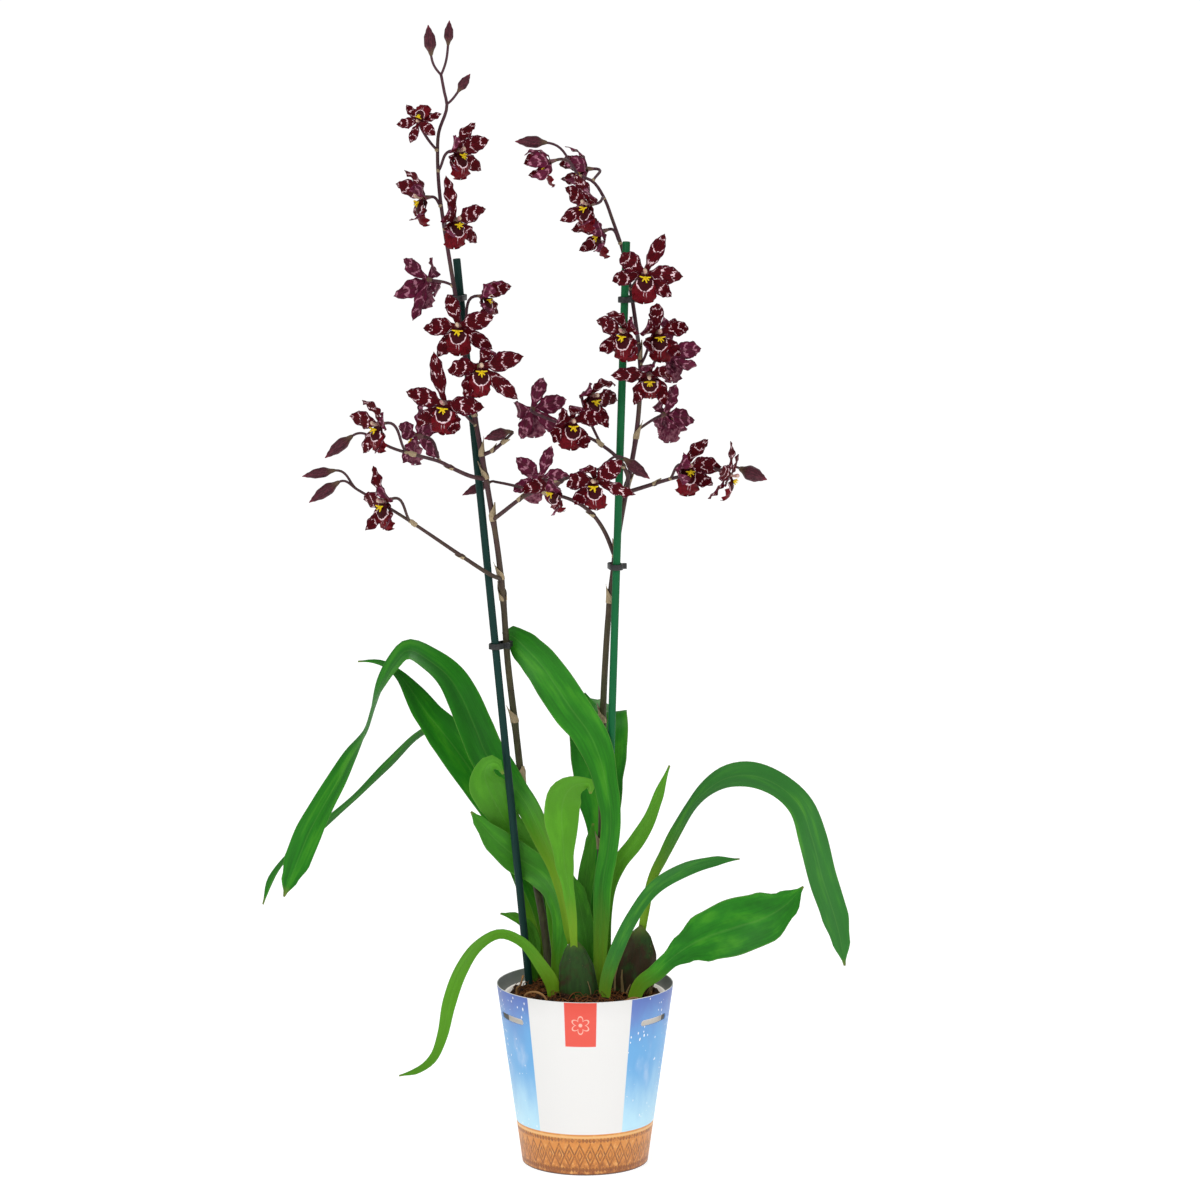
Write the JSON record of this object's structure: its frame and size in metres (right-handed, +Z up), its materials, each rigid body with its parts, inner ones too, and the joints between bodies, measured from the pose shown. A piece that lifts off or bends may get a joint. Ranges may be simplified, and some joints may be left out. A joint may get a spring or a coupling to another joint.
{
  "type": "potted orchid plant",
  "caption": "Potted odontoglossum orchid with staked, branching flower spikes of barred dark red blooms, arching strap leaves and a printed card sleeve.",
  "frame": {"origin": "middle of the sleeve's flat underside", "axes": "+Z up along the plant, -Y is the front that the picture shows, +X to the right in it"},
  "size_m": [0.4364, 0.1751, 0.836],
  "materials": {
    "card": "glossy printed card, blue fading to pale blue over an ochre base band",
    "pot": "thin cloudy plastic",
    "bark": "dark bark chips and coir fibre",
    "bulb": "mottled dark green skin with papery fibres",
    "leaf": "satin green leaf with fine lengthwise veins",
    "stem": "brown green stem, darker above",
    "bloom": "dark red petals with pale broken bars",
    "stake_dark": "dark blue green coated stick",
    "stake_bright": "green coated stick",
    "clip": "black plastic"
  },
  "bodies": {
    "root": {"sleeve": "card", "inner_pot": "pot", "growing_medium": "bark", "spike_left": "stem", "spike_right": "stem", "stake_left": "stake_dark", "stake_right": "stake_bright", "pseudobulb_1": "bulb", "pseudobulb_2": "bulb", "pseudobulb_3": "bulb", "leaf_01": "leaf", "leaf_02": "leaf", "leaf_03": "leaf", "leaf_04": "leaf", "leaf_05": "leaf", "leaf_06": "leaf", "leaf_07": "leaf", "leaf_08": "leaf", "leaf_09": "leaf", "leaf_10": "leaf", "leaf_11": "leaf", "leaf_12": "leaf", "leaf_13": "leaf", "leaf_14": "leaf", "leaf_15": "leaf", "leaf_16": "leaf", "clip_left_lower": "clip", "clip_left_upper": "clip", "clip_right_lower": "clip", "clip_right_upper": "clip", "bloom_a1": "bloom", "bloom_a2": "bloom", "bloom_a3": "bloom", "bloom_a4": "bloom", "bloom_a5": "bloom", "bloom_a6": "bloom", "bloom_a7": "bloom", "bloom_a8": "bloom", "bloom_a9": "bloom", "bloom_b1": "bloom", "bloom_b2": "bloom", "bloom_c1": "bloom", "bloom_e1": "bloom", "bloom_e2": "bloom", "bloom_e3": "bloom", "bloom_d1": "bloom", "bloom_d2": "bloom", "bloom_d3": "bloom", "bloom_f1": "bloom", "bloom_f2": "bloom", "bloom_f3": "bloom", "bloom_f4": "bloom", "bloom_f5": "bloom", "bloom_f6": "bloom", "bloom_f7": "bloom", "bloom_f8": "bloom", "bloom_f9": "bloom", "bloom_f10": "bloom", "bloom_g1": "bloom", "bloom_g2": "bloom"}
  },
  "joints": []
}
